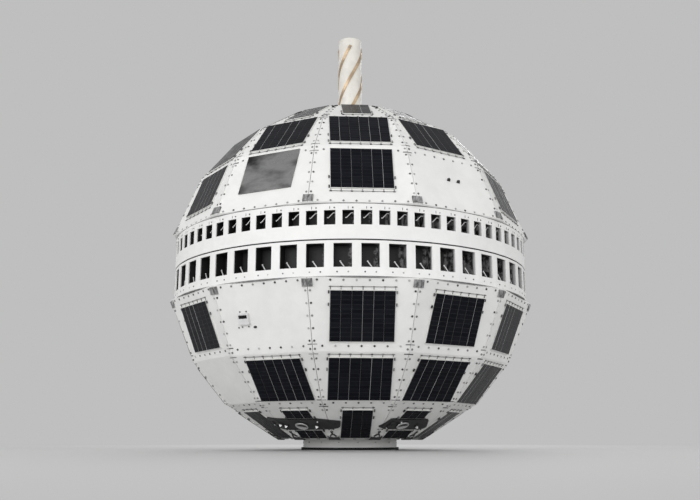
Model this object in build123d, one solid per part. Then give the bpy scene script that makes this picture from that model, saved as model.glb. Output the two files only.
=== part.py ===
from build123d import *
import math
import os

# Faceted, near-spherical communications satellite, in millimetres, with its spin axis along +Z.
# It stands on its launcher adapter ring, and the origin is the middle of that ring's lower face.
# Heights in the tables are measured from the waist plane, the plane of symmetry of the faceted body.
# Facet 0 faces -Y, and facet numbers grow towards +X.

# Antenna band round the waist: each port opens in a flat side of its own
band_radius = 438.0
band_skin_thickness = 2.5
band_half_height = 76.0
waist_slot = 3.0
waist_ring_recess = 1.5
port_depth = 27.0
port_back_wall = 4.5
port_ring_half_height = 70.0
# One line per row of ports: half (-1 lower, 1 upper), count, first azimuth in degrees, width, height, middle
port_rows = {
    "upper": (1, 72, 0.9, 24.0, 31.0, 47.0),
    "lower": (-1, 48, 1.95, 38.0, 50.0, 32.5),
}

# Faceted body: corners of the half profile from the waist to the pole, as (apothem, height above the waist)
facet_count = 12
waist_step = 5.4
waist_rise = 3.0
waist_corner = (band_radius - waist_step, band_half_height + waist_rise)
shoulder_corner = (375.0, 224.0)
hip_corner = (296.0, 321.0)
end_corner = (173.0, 399.5)
profile = [waist_corner, shoulder_corner, hip_corner, end_corner]
skin_thickness = 2.0
seam_gap = 1.6

# Inner frame of ribs and hoops behind the seams
rib_thickness = 4.0
rib_half_width = 13.0
hoop_half_width = 16.0
hoop_flange_thickness = 4.0
neck_step = 22.0
neck_thickness = 8.0

# Solar modules: a pale tray that carries columns of cells
module_width = 136.0
module_length = 110.0
tray_thickness = 3.0
tray_margin = 1.6
cell_thickness = 1.0
cell_line = 1.8
full_columns = 6
strip_columns = 3

# One line per row of facets: half (-1 lower, 1 upper), number of its waist-side profile corner,
# slope distance from that corner to its modules, columns of cells, facets without a standard module
facet_rows = {
    "lower_waist": (-1, 0, 25.0, full_columns, (-1, 5)),
    "lower_middle": (-1, 1, 12.0, full_columns, (-2, 4)),
    "lower_end": (-1, 2, 29.0, strip_columns, (-1, 1)),
    "upper_waist": (1, 0, 36.0, full_columns, (-1, 1)),
    "upper_middle": (1, 1, 12.0, full_columns, ()),
    "upper_end": (1, 2, 29.0, strip_columns, ()),
}

# Particle detector plates on facets -1 and 1 of the lower end row, bent over the seams to the next modules
detector_facets = (-1, 1)
detector_start = 62.5
detector_length = 41.5
detector_thickness = 4.0
detector_side_gap = 1.5
# Short modules above and below each plate: slope distance to the tray, tray length
short_modules = [(28.5, 32.0), (106.0, 34.0)]
# Window and knobs on a plate: lateral place, slope place, radius, height
detector_knobs = [(-7.0, 85.5, 13.0, 3.0), (31.0, 86.5, 5.0, 6.0), (-48.0, 84.0, 5.0, 6.0)]

# Sun aspect sensors on the lower waist row: facet, lateral place, slope place of the housing
sensor_places = [(-1, -50.0, 77.0), (5, -50.0, 77.0)]
sensor_width = 26.0
sensor_length = 24.0
sensor_height = 6.0
sensor_slot_width = 21.5
sensor_slot_length = 8.0
sensor_slot_offset = 5.0

# Mirror-finished thermal panel on facet -1 of the upper waist row
mirror_facet = -1
mirror_start = 46.0
mirror_width = 132.0
mirror_length = 104.0
mirror_thickness = 2.5

# Pads that cap the seams beside the band
pad_width = 22.0
pad_length = 20.0
pad_thickness = 3.0
pad_offset = 1.5
pad_depth = 80.0

# Open end at the bottom: flat ring, recessed pan and corner brackets
end_plate_thickness = 3.0
end_plate_clearance = 0.5
end_ring_width = 12.5
pan_wall = 2.0
pan_depth = 10.0
pan_floor = 3.0
bracket_width = 26.0
bracket_length = 15.0
bracket_thickness = 3.0
bracket_margin = 1.0

# Launcher adapter ring
adapter_stand = 26.5
barrel_outer_radius = 114.0
barrel_wall = 3.0
flange_rim = 5.0
flange_land = 3.5
flange_height = 6.0
throat_step = 12.0
throat_wall = 3.0
throat_mouth_lip = 2.5
throat_mouth_height = 2.0
throat_cone_height = 12.0
throat_floor_height = 81.0
throat_floor_thickness = 4.0

# Electronics canister, as one plain block
canister_radius = 254.0
canister_height = 460.0

# Command antenna on the upper pole
antenna_flange_radius = 62.0
antenna_flange_thickness = 4.0
antenna_base_height = 40.0
antenna_tube_radius = 30.0
antenna_tube_wall = 3.0
antenna_tube_length = 200.0
antenna_cap_height = 12.0
helix_starts = 4
helix_pitch = 360.0
helix_turns = 0.5
helix_start = 10.0
tape_width = 8.0
tape_thickness = 1.6

# How far a cutting solid sticks out past what it cuts
overcut = 1.0

facet_step = 360.0 / facet_count
half_facet = math.radians(facet_step / 2)
waist_height = end_corner[1] + adapter_stand
facet_numbers = range(1 - facet_count // 2, facet_count // 2 + 1)

os.makedirs("parts", exist_ok=True)


def save(name, shape):
    """Write one node, lifted from the waist plane to its height above the adapter ring's lower face."""
    pieces = shape if isinstance(shape, list) else [shape]
    solids = [solid for piece in pieces for solid in piece.solids()]
    lifted = [Pos(0, 0, waist_height) * solid for solid in solids]
    export_step(lifted[0] if len(lifted) == 1 else Compound(children=lifted), f"parts/{name}.step")


def inset(corners, distance):
    """Move a half profile inwards by a wall's thickness, keeping the heights of its two ends."""
    normals = []
    for (a1, z1), (a2, z2) in zip(corners, corners[1:]):
        run = math.hypot(a2 - a1, z2 - z1)
        normals.append(((z2 - z1) / run, (a1 - a2) / run))
    moved = [(corners[0][0] - distance / normals[0][0], corners[0][1])]
    for (a, z), (na, nz), (ma, mz) in zip(corners[1:-1], normals, normals[1:]):
        spread = distance / (1 + na * ma + nz * mz)
        moved.append((a - spread * (na + ma), z - spread * (nz + mz)))
    moved.append((corners[-1][0] - distance / normals[-1][0], corners[-1][1]))
    return moved


def apothem_at(corners, height):
    """Apothem of a half profile at a height, its end slopes carried on past its ends."""
    pairs = list(zip(corners, corners[1:]))
    (a1, z1), (a2, z2) = next((p for p in pairs if height <= p[1][1]), pairs[-1])
    return a1 + (a2 - a1) * (height - z1) / (z2 - z1)


def trimmed(corners, low, high):
    """The part of a half profile between two heights."""
    middle = [corner for corner in corners if low < corner[1] < high]
    return [(apothem_at(corners, low), low)] + middle + [(apothem_at(corners, high), high)]


def polygon_prism(apothem, low, high, taper=0.0):
    """Upright prism or frustum on the regular polygon of the facets."""
    outline = RegularPolygon(apothem, facet_count, major_radius=False, rotation=facet_step / 2)
    return extrude(Plane.XY.offset(low) * outline, amount=high - low, taper=taper)


def faceted_stack(corners):
    """Closed solid of the upper half, one frustum per pair of profile corners."""
    stack = None
    for (a1, z1), (a2, z2) in zip(corners, corners[1:]):
        frustum = polygon_prism(a1, z1, z2, math.degrees(math.atan2(a1 - a2, z2 - z1)))
        stack = frustum if stack is None else stack + frustum
    return stack


def port_polygon(name, radius):
    """Regular polygon with one side per port of a row, from the radius of its corners."""
    half, count, first, width, height, middle = port_rows[name]
    return RegularPolygon(radius, count, rotation=first + 180 / count)


def inside_skin(name):
    """Corner radius of a row's polygon on the inner side of its band skin."""
    return band_radius - band_skin_thickness / math.cos(math.pi / port_rows[name][1])


def tube(outer, inner, low, high):
    """Upright round tube between two heights."""
    ring = Circle(outer) - Circle(inner)
    return extrude(Plane.XY.offset(low) * ring, amount=high - low)


def turned(points):
    """Solid of revolution about the spin axis, from (radius, height) points."""
    face = make_face(Plane.XZ * Polyline(*points, close=True))
    return revolve(face, axis=Axis.Z)


def row_slope(corner):
    """Length of a facet from its waist-side edge to its pole-side edge."""
    (a1, z1), (a2, z2) = profile[corner], profile[corner + 1]
    return math.hypot(a2 - a1, z2 - z1)


def half_width(corner, slope):
    """Half width of a facet at a slope distance from its waist-side edge."""
    a1, a2 = profile[corner][0], profile[corner + 1][0]
    return (a1 + (a2 - a1) * slope / row_slope(corner)) * math.tan(half_facet)


def facet_plane(half, corner, facet):
    """Plane of a facet: origin on its waist-side edge, x to the right, y up the skin, z outwards."""
    angle = math.radians(facet * facet_step)
    outwards = Vector(math.sin(angle), -math.cos(angle), 0)
    right = Vector(math.cos(angle), math.sin(angle), 0)
    (a1, z1), (a2, z2) = profile[corner], profile[corner + 1]
    near = outwards * a1 + Vector(0, 0, half * z1)
    slope = (outwards * (a2 - a1) + Vector(0, 0, half * (z2 - z1))).normalized()
    normal = right.cross(slope) * half
    return Plane(origin=near, x_dir=right, z_dir=normal)


def on_facet(half, corner, facet, side, slope, lift, shape):
    """Put a centred shape on a facet, lift above the skin, with slope measured from the waist-side edge."""
    return facet_plane(half, corner, facet) * Pos(side, half * slope, lift) * shape


def trapezoid(half, corner, facet, sides, waist_end, pole_end, top, bottom):
    """Plate on a facet, its edges set in from the seams, between two heights over the facet's plane."""
    s1, s2 = waist_end, row_slope(corner) - pole_end
    w1, w2 = half_width(corner, s1) - sides, half_width(corner, s2) - sides
    outline = Polygon((-w1, half * s1), (w1, half * s1), (w2, half * s2), (-w2, half * s2), align=None)
    plane = facet_plane(half, corner, facet)
    return extrude(plane.offset(bottom) * outline, amount=top - bottom, dir=plane.z_dir)


def skin_plates(half, corner):
    """Twelve flat skin plates of one row, with open seams between them."""
    edge = seam_gap / 2
    return [
        trapezoid(half, corner, facet, edge, edge, edge, 0, -skin_thickness)
        for facet in facet_numbers
    ]


def module_sizes(columns):
    """Tray width for a number of cell columns."""
    return module_width * columns / full_columns


def tray(half, corner, facet, start, length, columns):
    """Pale tray of one module."""
    middle = start + length / 2
    plate = Box(module_sizes(columns), length, tray_thickness)
    return on_facet(half, corner, facet, 0, middle, tray_thickness / 2, plate)


def cell_columns(half, corner, facet, start, length, columns):
    """Black cell columns of one module, on its tray."""
    inner_width = module_sizes(columns) - 2 * tray_margin
    pitch = (inner_width + cell_line) / columns
    strip = Box(pitch - cell_line, length - 2 * tray_margin, cell_thickness)
    lift = tray_thickness + cell_thickness / 2
    middle = start + length / 2
    sides = [(column - (columns - 1) / 2) * pitch for column in range(columns)]
    return [on_facet(half, corner, facet, side, middle, lift, strip) for side in sides]


def modules_of_row(name):
    """Places of a row's modules, as (facet, slope start, length, columns)."""
    half, corner, start, columns, empty = facet_rows[name]
    places = [(facet, start, module_length, columns) for facet in facet_numbers if facet not in empty]
    if name == "lower_end":
        for facet in detector_facets:
            places += [(facet, near, length, columns) for near, length in short_modules]
    return places


def body_frame():
    """Ribs and hoops of the upper half, with a flange at each end and a round neck under the band."""
    low = waist_corner[1]
    high = end_corner[1] - end_plate_thickness
    outer = trimmed(inset(profile, skin_thickness), low, high)
    inner_profile = inset(profile, skin_thickness + rib_thickness)
    inner = trimmed(inner_profile, low + hoop_flange_thickness, high - hoop_flange_thickness)
    windows = [
        trapezoid(1, corner, facet, rib_half_width, hoop_half_width, hoop_half_width, overcut, -3 * rib_thickness)
        for corner in range(len(profile) - 1)
        for facet in facet_numbers
    ]
    shell = faceted_stack(outer) - faceted_stack(inner)
    neck = polygon_prism(neck_apothem, port_ring_half_height, low)
    shell -= polygon_prism(neck_apothem - neck_thickness, low - overcut, low + hoop_flange_thickness)
    shell -= polygon_prism(pan_apothem, high - 2 * hoop_flange_thickness, high + overcut)
    shell -= windows
    neck_bore = polygon_prism(neck_apothem - neck_thickness, port_ring_half_height - overcut, low + overcut)
    return shell + (neck - neck_bore)


def ports(name, radius, depth):
    """Boxes that open a row of ports, from a radius inwards."""
    half, count, first, width, height, middle = port_rows[name]
    port = Pos(0, -(radius - depth / 2), half * middle) * Box(width, depth, height)
    return [Rot(0, 0, first + 360.0 * i / count) * port for i in range(count)]


def band_skin(name):
    """Skin of one half of the band, with a window in each of its flat sides."""
    half = port_rows[name][0]
    low, high = sorted((half * waist_slot / 2, half * band_half_height))
    ring = port_polygon(name, band_radius) - port_polygon(name, inside_skin(name))
    skin = extrude(Plane.XY.offset(low) * ring, amount=high - low)
    return skin - ports(name, band_radius + overcut, 3 * band_skin_thickness)


def port_ring(name):
    """Ring behind the skin, with one blind waveguide pocket per port."""
    half = port_rows[name][0]
    low, high = sorted((half * waist_slot / 2, half * port_ring_half_height))
    block = extrude(Plane.XY.offset(low) * port_polygon(name, inside_skin(name)), amount=high - low)
    ring = block - polygon_prism(port_back_apothem, low - overcut, high + overcut)
    flat = inside_skin(name) * math.cos(math.pi / port_rows[name][1])
    return ring - ports(name, flat + overcut, port_depth + overcut)


def waist_ring():
    """Ring at the bottom of the slot between the two halves of the band."""
    outline = port_polygon("lower", band_radius - waist_ring_recess)
    ring = extrude(Plane.XY.offset(-waist_slot / 2) * outline, amount=waist_slot)
    return ring - polygon_prism(port_back_apothem, -waist_slot, waist_slot)


def proud_row(corner, thickness):
    """Shell that lies on one row's facets, for pieces bent over its seams (upper half)."""
    skin = profile[corner:corner + 2]
    return faceted_stack(inset(skin, -thickness)) - faceted_stack(skin)


def detector_plate():
    """Detector plate of facet 0 of the lower end row, bent over both seams to the modules beside it."""
    middle = detector_start + detector_length / 2
    reach = Box(4 * half_width(2, middle), detector_length, 8 * detector_thickness)
    plate = proud_row(2, detector_thickness) & on_facet(1, 2, 0, 0, middle, 0, reach)
    room = Box(module_sizes(strip_columns) + 2 * detector_side_gap, 2 * module_length, 8 * detector_thickness)
    return plate - [on_facet(1, 2, facet, 0, middle, 0, room) for facet in (-1, 1)]


def sensor(facet, side, slope):
    """Sensor housing with a wide slot sunk in its face, on the side of the waist."""
    body = Box(sensor_width, sensor_length, sensor_height)
    slot = Box(sensor_slot_width, sensor_slot_length, sensor_height)
    body -= Pos(0, sensor_slot_offset, sensor_height / 2) * slot
    return on_facet(-1, 0, facet, side, slope, sensor_height / 2, body)


def corner_pads():
    """Pads over the twelve seams of each waist row, at the end beside the band."""
    low = waist_corner[1] + pad_offset
    reach = Pos(0, -band_radius, low + pad_length / 2) * Box(pad_width, pad_depth, pad_length)
    pad = proud_row(0, pad_thickness) & Rot(0, 0, facet_step / 2) * reach
    upper = [Rot(0, 0, facet_step * i) * pad for i in range(facet_count)]
    return upper + [mirror(piece, about=Plane.XY) for piece in upper]


def end_brackets():
    """Brackets under the corners of the bottom ring."""
    place = (end_apothem - bracket_length / 2 - bracket_margin) / math.cos(half_facet)
    block = Pos(0, -place, -end_corner[1] - bracket_thickness / 2)
    block = block * Box(bracket_width, bracket_length, bracket_thickness)
    return [Rot(0, 0, facet_step * (i + 0.5)) * block for i in range(facet_count)]


def antenna_helix(base):
    """Flat tapes wound side by side round the antenna tube."""
    radius = antenna_tube_radius + tape_thickness / 2
    path = Pos(0, 0, base + helix_start) * Helix(helix_pitch, helix_pitch * helix_turns, radius)
    section = Plane(origin=path @ 0, x_dir=(1, 0, 0), z_dir=path % 0) * Rectangle(tape_thickness, tape_width)
    tape = sweep(section, path, is_frenet=True)
    return [Rot(0, 0, 360 * start / helix_starts) * tape for start in range(helix_starts)]


# Places worked out from the driving dimensions
end_apothem = apothem_at(inset(profile, skin_thickness), end_corner[1]) - end_plate_clearance
pan_inner_apothem = end_apothem - end_ring_width
pan_apothem = pan_inner_apothem + pan_wall
neck_apothem = band_radius - neck_step
port_back_apothem = (inside_skin("lower") - port_depth - port_back_wall) * math.cos(half_facet)
pole = end_corner[1]

# Skins, trays and cells, row by row
for row, (half, corner, start, columns, empty) in facet_rows.items():
    places = modules_of_row(row)
    save(f"skin_{row}", skin_plates(half, corner))
    save(f"tray_{row}", [tray(half, corner, *place) for place in places])
    save(f"cells_{row}", [strip for place in places for strip in cell_columns(half, corner, *place)])

# Inner frame, one half mirrored from the other
frame_half = body_frame()
save("frame_upper", frame_half)
save("frame_lower", mirror(frame_half, about=Plane.XY))

# Antenna band
for row in port_rows:
    save(f"band_skin_{row}", band_skin(row))
    save(f"port_ring_{row}", port_ring(row))
save("waist_ring", waist_ring())
save("corner_pads", corner_pads())

# Detectors, sensors and the mirror panel
lower_plate = mirror(detector_plate(), about=Plane.XY)
save("detector_plates", [Rot(0, 0, facet_step * facet) * lower_plate for facet in detector_facets])
save("detector_knobs", [
    on_facet(-1, 2, facet, side, slope, detector_thickness + height / 2, Cylinder(radius, height))
    for facet in detector_facets
    for side, slope, radius, height in detector_knobs
])
save("aspect_sensors", [sensor(*place) for place in sensor_places])
mirror_plate = Box(mirror_width, mirror_length, mirror_thickness)
mirror_middle = mirror_start + mirror_length / 2
save("mirror_panel", on_facet(1, 0, mirror_facet, 0, mirror_middle, mirror_thickness / 2, mirror_plate))

# Bottom end: flat ring, pan and brackets
end_face = -pole + end_plate_thickness
end_opening = polygon_prism(pan_inner_apothem, -pole - overcut, end_face + overcut)
save("end_ring", polygon_prism(end_apothem, -pole, end_face) - end_opening)
pan = polygon_prism(pan_apothem, end_face, -pole + pan_depth + pan_floor)
pan -= polygon_prism(pan_inner_apothem, end_face - overcut, -pole + pan_depth)
save("end_pan", pan - Cylinder(barrel_outer_radius, 4 * pole))
save("end_brackets", end_brackets())

# Launcher adapter ring and its throat
foot = -waist_height
flange_top = foot + flange_height
mouth = foot + throat_mouth_height
cone_top = mouth + throat_cone_height
flange_inner_radius = barrel_outer_radius - flange_land
throat_radius = barrel_outer_radius - barrel_wall - throat_step
outer_throat = throat_radius + throat_wall
shoulder = cone_top + flange_inner_radius - outer_throat
save("adapter_flange", tube(barrel_outer_radius + flange_rim, flange_inner_radius, foot, flange_top))
save("adapter_barrel", tube(
    barrel_outer_radius, barrel_outer_radius - barrel_wall, flange_top, -pole + pan_depth + pan_floor
))
save("adapter_throat", turned([
    (flange_inner_radius - throat_mouth_lip, mouth),
    (flange_inner_radius, mouth),
    (flange_inner_radius, cone_top),
    (outer_throat, shoulder),
    (outer_throat, -canister_height / 2),
    (throat_radius, -canister_height / 2),
    (throat_radius, cone_top),
]))
save("throat_floor", Pos(0, 0, foot + throat_floor_height + throat_floor_thickness / 2)
     * Cylinder(throat_radius, throat_floor_thickness))
save("canister", polygon_prism(canister_radius, -canister_height / 2, canister_height / 2))

# Upper end: closing deck and command antenna
deck = polygon_prism(end_apothem, pole - end_plate_thickness, pole)
save("top_deck", deck)
tube_base = pole + antenna_base_height
tube_top = tube_base + antenna_tube_length
save("antenna_base", turned([
    (0, pole),
    (antenna_flange_radius, pole),
    (antenna_flange_radius, pole + antenna_flange_thickness),
    (antenna_tube_radius, tube_base),
    (0, tube_base),
]))
save("antenna_tube", tube(antenna_tube_radius, antenna_tube_radius - antenna_tube_wall, tube_base, tube_top))
save("antenna_helix", antenna_helix(tube_base))
save("antenna_cap", Pos(0, 0, tube_top + antenna_cap_height / 2)
     * Cylinder(antenna_tube_radius, antenna_cap_height))
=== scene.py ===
import math

import bpy
import numpy as np
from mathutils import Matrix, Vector


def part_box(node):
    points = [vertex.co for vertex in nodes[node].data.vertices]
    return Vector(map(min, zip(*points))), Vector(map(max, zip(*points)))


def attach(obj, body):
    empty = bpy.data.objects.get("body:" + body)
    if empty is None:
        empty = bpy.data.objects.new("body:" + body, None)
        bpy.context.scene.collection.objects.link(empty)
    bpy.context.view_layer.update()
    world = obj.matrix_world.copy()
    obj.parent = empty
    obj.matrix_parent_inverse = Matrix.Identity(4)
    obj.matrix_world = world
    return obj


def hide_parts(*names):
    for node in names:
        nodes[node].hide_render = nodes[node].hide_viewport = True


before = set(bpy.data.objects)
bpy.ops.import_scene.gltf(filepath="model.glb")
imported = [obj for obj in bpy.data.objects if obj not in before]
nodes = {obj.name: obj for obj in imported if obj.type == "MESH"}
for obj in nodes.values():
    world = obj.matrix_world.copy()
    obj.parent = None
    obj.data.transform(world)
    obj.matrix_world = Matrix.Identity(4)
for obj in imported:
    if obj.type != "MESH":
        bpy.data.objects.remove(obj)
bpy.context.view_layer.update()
random = np.random.default_rng(1962)
mm = 0.001  # lengths of the pieces are in mm, and addPiece makes them metres

# The facets, read from the frame: every row runs from its waist-side edge to its pole-side edge
facetCount = 12
facetStep = 2 * math.pi / facetCount
allFacets = np.arange(facetCount)
seamCosine = math.cos(facetStep / 2)
halves = ("lower", "upper")
rowNames = [half + "_" + place for half in halves for place in ("waist", "middle", "end")]


def box(node):
    # Lowest and highest corner of a node of the frame
    return [np.array(corner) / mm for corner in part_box(node)]


def nodePoints(node):
    # All points of a node of the frame
    mesh = nodes[node].data
    points = np.zeros(len(mesh.vertices) * 3)
    mesh.vertices.foreach_get("co", points)
    return points.reshape(-1, 3) / mm


def turnAxes(azimuth):
    # Rotation about the spin axis, one 3 by 3 matrix per azimuth, for row vectors
    c, s = np.cos(azimuth), np.sin(azimuth)
    o, i = np.zeros_like(c), np.ones_like(c)
    return np.stack([np.stack([c, s, o], -1), np.stack([-s, c, o], -1), np.stack([o, o, i], -1)], -2)


def frontPoints(points, facet=0):
    # Points of one facet's sector, turned so that the facet faces -Y
    turned = points @ turnAxes(-facet * facetStep)
    azimuth = np.arctan2(turned[:, 0], -turned[:, 1])
    return turned[np.abs(azimuth) < facetStep / 2]


def readRow(name):
    # The outer face's two edges: the farthest point from the axis, and the point nearest the pole
    half = -1 if name.startswith("lower") else 1
    points = frontPoints(nodePoints("skin_" + name))
    near = points[np.argmin(points[:, 1])]
    far = points[np.argmax(half * points[:, 2])]
    start = np.array([0.0, near[1], near[2]])
    run = np.array([0.0, far[1], far[2]]) - start
    length = np.linalg.norm(run)
    slope = run / length
    out = np.cross([1.0, 0, 0], slope) * half
    return {"half": half, "start": start, "length": length, "slope": slope, "out": out}


rows = {name: readRow(name) for name in rowNames}
waistHeight = np.mean(box("waist_ring"), axis=0)[2]

# How close points lie to a tray's foot, to the band's farthest corners and to a band side's face, and how
# far a band side reaches from its middle as a share of the step
reading = {"foot": 0.5, "corner": 0.02, "face": 1.5, "side": 0.45}


def apothem(row, slope):
    # Distance of a facet's middle line from the axis, at a slope distance along it
    return -(row["start"][1] + row["slope"][1] * slope)


def halfWidth(row, slope):
    # Half the width of a facet: its apothem times the tangent of half a step
    return apothem(row, slope) * math.tan(facetStep / 2)


def fromEdge(row, slopes):
    # Slope distances, the negative ones measured back from the pole-side edge
    slopes = np.asarray(slopes, float)
    return np.where(slopes < 0, row["length"] + slopes, slopes)


def alike(*values):
    # The values as arrays of one common length
    return [np.atleast_1d(np.asarray(value, float)).ravel() for value in np.broadcast_arrays(*values)]


def grid(*values):
    # Every combination of the values, as one array for each
    return [value.ravel() for value in np.meshgrid(*values, indexing="ij")]


def around(count, shift=0.0):
    # Angles of points evenly round a circle
    return np.arange(count) * 2 * math.pi / count + shift


def inLine(count, pitch):
    # Points a pitch apart, evenly on both sides of the middle
    return (np.arange(count) - (count - 1) / 2) * pitch


# Places for pieces: an origin and three axes each, as rows
def spun(origin, axes, azimuth):
    # Places in front, turned about the spin axis by the azimuths
    spin, count = turnAxes(azimuth), len(azimuth)
    origin = np.broadcast_to(np.asarray(origin, float), (count, 3))
    axes = np.broadcast_to(np.asarray(axes, float), (count, 3, 3))
    return np.einsum("ki,kij->kj", origin, spin), np.einsum("kai,kij->kaj", axes, spin)


def onFacets(row, facet, side, slope, lift=0.0, turn=0.0, tilt=0.0):
    # origin = start + slope along the skin + side across it + lift outwards, with the axes
    # (across, up the skin, outwards) turned in the skin and tilted out of it
    facet, side, slope, lift, turn, tilt = alike(facet, side, slope, lift, turn, tilt)
    across, up, out = np.array([1.0, 0, 0]), row["slope"], row["out"]
    c, s = np.cos(turn)[:, None], np.sin(turn)[:, None]
    x, y = c * across + s * up, c * up - s * across
    c, s = np.cos(tilt)[:, None], np.sin(tilt)[:, None]
    y, z = c * y + s * out, c * out - s * y
    origin = row["start"] + side[:, None] * across + slope[:, None] * up + lift[:, None] * out
    return spun(origin, np.stack([x, y, z], 1), facet * facetStep)


def onSeams(row, slope):
    # On the ridges between facets: axes are (across the ridge, up it, outwards)
    across = np.array([1.0, 0, 0])
    ridge = np.array([0.0, row["slope"][1] / seamCosine, row["slope"][2]])
    ridge /= np.linalg.norm(ridge)
    origin = [0.0, -apothem(row, slope) / seamCosine, row["start"][2] + row["slope"][2] * slope]
    axes = [across, ridge, np.cross(across, ridge) * row["half"]]
    return spun(origin, axes, (allFacets + 0.5) * facetStep)


def besideSeams(row, slopes, away):
    # Facet, side, slope and sign of points at one distance on both sides of every seam
    facet, slope, sign = grid(allFacets, fromEdge(row, slopes), (-1, 1))
    return facet, sign * (halfWidth(row, slope) - away), slope, sign


# Axes on level faces are (across, towards the spin axis, up or down), on the band (across, up, outwards)
facings = {"up": ((1, 0, 0), (0, 1, 0), (0, 0, 1)), "down": ((1, 0, 0), (0, 1, 0), (0, 0, -1)),
           "out": ((1, 0, 0), (0, 0, 1), (0, -1, 0))}


def onRound(azimuth, reach, height, facing, side=0.0):
    # On a level face or on the band: reach is the distance from the spin axis, side lies across it
    azimuth, reach, height, side = alike(azimuth, reach, height, side)
    return spun(np.stack([side, -reach, height], -1), facings[facing], azimuth)


def merged(parts):
    # Places of several tables as one
    return [np.concatenate(group) for group in zip(*parts)]


# Small shapes: points, four-sided faces, three-sided faces
def stack(rings):
    # Rings of points, bottom to top, joined by quads and closed by a fan at each end
    rings = np.asarray(rings, float)
    levels, sides = rings.shape[:2]
    index = np.arange(levels * sides).reshape(levels, sides)
    a, b = index[:-1], index[1:]
    quads = np.stack([a, np.roll(a, -1, 1), np.roll(b, -1, 1), b], -1).reshape(-1, 4)
    bottom, top = levels * sides, levels * sides + 1
    low = np.stack([np.roll(index[0], -1), index[0], np.full(sides, bottom)], -1)
    high = np.stack([index[-1], np.roll(index[-1], -1), np.full(sides, top)], -1)
    points = np.concatenate([rings.reshape(-1, 3), rings[0].mean(0)[None], rings[-1].mean(0)[None]])
    return points, quads, np.concatenate([low, high])


def slab(width, length, steps):
    # Rectangle stacked up: steps are (how far the edge is set in, height)
    corners = np.array([[-1, -1], [1, -1], [1, 1], [-1, 1]]) / 2
    return stack([np.column_stack([corners * [width - 2 * inset, length - 2 * inset], np.full(4, height)])
                  for inset, height in steps])


def slabOf(d):
    # The slab that a piece's own dictionary gives
    return slab(*d["size"], d["steps"])


def button(steps, sides=12):
    # Circle stacked up: steps are (radius, height)
    angle = around(sides)
    return stack([np.column_stack([radius * np.cos(angle), radius * np.sin(angle), np.full(sides, height)])
                  for radius, height in steps])


def buttonOf(d):
    # The button that a piece's own dictionary gives
    return button(d["steps"], d["sides"])


def rod(path, radius, sides=8):
    # Circle carried along a path: at each point it lies square to the mean of the two runs beside it
    path = np.asarray(path, float)
    run = np.gradient(path, axis=0)
    run /= np.linalg.norm(run, axis=1)[:, None]
    guide = [0.0, 0.0, 1.0] if abs(run[0][2]) < 0.8 else [1.0, 0.0, 0.0]
    right = np.cross(run, guide)
    right /= np.linalg.norm(right, axis=1)[:, None]
    over = np.cross(right, run)
    angle = around(sides)[None, :, None]
    return stack(path[:, None] + radius * (np.cos(angle) * right[:, None] - np.sin(angle) * over[:, None]))


def ringOf(section, sides, turn=0.0):
    # Closed ring: a closed section of (radius, height) points, in order round it, carried round the axis
    radius, height = np.asarray(section, float).T
    azimuth = around(sides, turn * 2 * math.pi / sides)
    points = np.stack([np.outer(np.sin(azimuth), radius), -np.outer(np.cos(azimuth), radius),
                       np.broadcast_to(height, (sides, len(height)))], -1).reshape(-1, 3)
    index = np.arange(len(points)).reshape(sides, -1)
    near, far = np.roll(index, -1, 0), np.roll(index, -1, 1)
    quads = np.stack([index, near, np.roll(near, -1, 1), far], -1).reshape(-1, 4)
    doubledArea = ((radius - np.roll(radius, -1)) * (height + np.roll(height, -1))).sum()
    return points, quads if doubledArea > 0 else quads[:, ::-1], np.zeros((0, 3), int)


def flatRing(inner, outer, low, high, sides, turn=0.0):
    # Ring with a rectangle for its section
    return ringOf([(inner, low), (outer, low), (outer, high), (inner, high)], sides, turn)


def bead(radius, thickness, sides, section=8):
    # Ring with a circle for its section
    angle = around(section)
    return ringOf(np.stack([radius + thickness * np.cos(angle), thickness * np.sin(angle)], -1), sides)


def scaled(shape, *factors):
    # The shape made wider or narrower along its own axes
    return shape[0] * factors, shape[1], shape[2]


def joined(shapes):
    # Several small shapes as one
    starts = np.cumsum([0] + [len(shape[0]) for shape in shapes])
    return [np.concatenate([shape[part] + (start if part else 0) for shape, start in zip(shapes, starts)])
            for part in range(3)]


def stamped(shape, places):
    # The shape repeated at every place, its faces turned over where the place's axes are left-handed;
    # its points are one set for all places, or a set for each
    points, quads, tris = shape
    origins, axes = places
    count, each = len(origins), points.shape[-2]
    points = np.broadcast_to(points, (count, each, 3))
    flip = (np.linalg.det(axes) < 0)[:, None, None]
    shift = (np.arange(count) * each)[:, None, None]
    quads, tris = [(np.where(flip, faces[None, :, ::-1], faces[None]) + shift).reshape(-1, faces.shape[1])
                   for faces in (quads, tris)]
    return (origins[:, None] + np.einsum("kvi,kij->kvj", points, axes)).reshape(-1, 3), quads, tris


def placed(name, data):
    # A new object in the scene
    made = bpy.data.objects.new(name, data)
    bpy.context.scene.collection.objects.link(made)
    return made


def addPiece(name, shape, look, replaced=(), smooth=False, tone=None, seat=None):
    # One object from arrays; tone is one number per point, seat two, both read by its material
    points, quads, tris = shape
    mesh = bpy.data.meshes.new(name)
    mesh.from_pydata((points * mm).tolist(), [], quads.tolist() + tris.tolist())
    if tone is not None:
        mesh.attributes.new("tone", "FLOAT", "POINT").data.foreach_set("value", np.asarray(tone, np.float32))
    if seat is not None:
        seats = np.column_stack([seat, np.zeros(len(seat))]).astype(np.float32)
        mesh.attributes.new("seat", "FLOAT_VECTOR", "POINT").data.foreach_set("vector", seats.ravel())
    mesh.update()
    if smooth:
        mesh.shade_smooth()
    mesh.materials.append(materials[look])
    piece = placed(name, mesh)
    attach(piece, "root")
    if replaced:
        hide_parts(*replaced)


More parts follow.
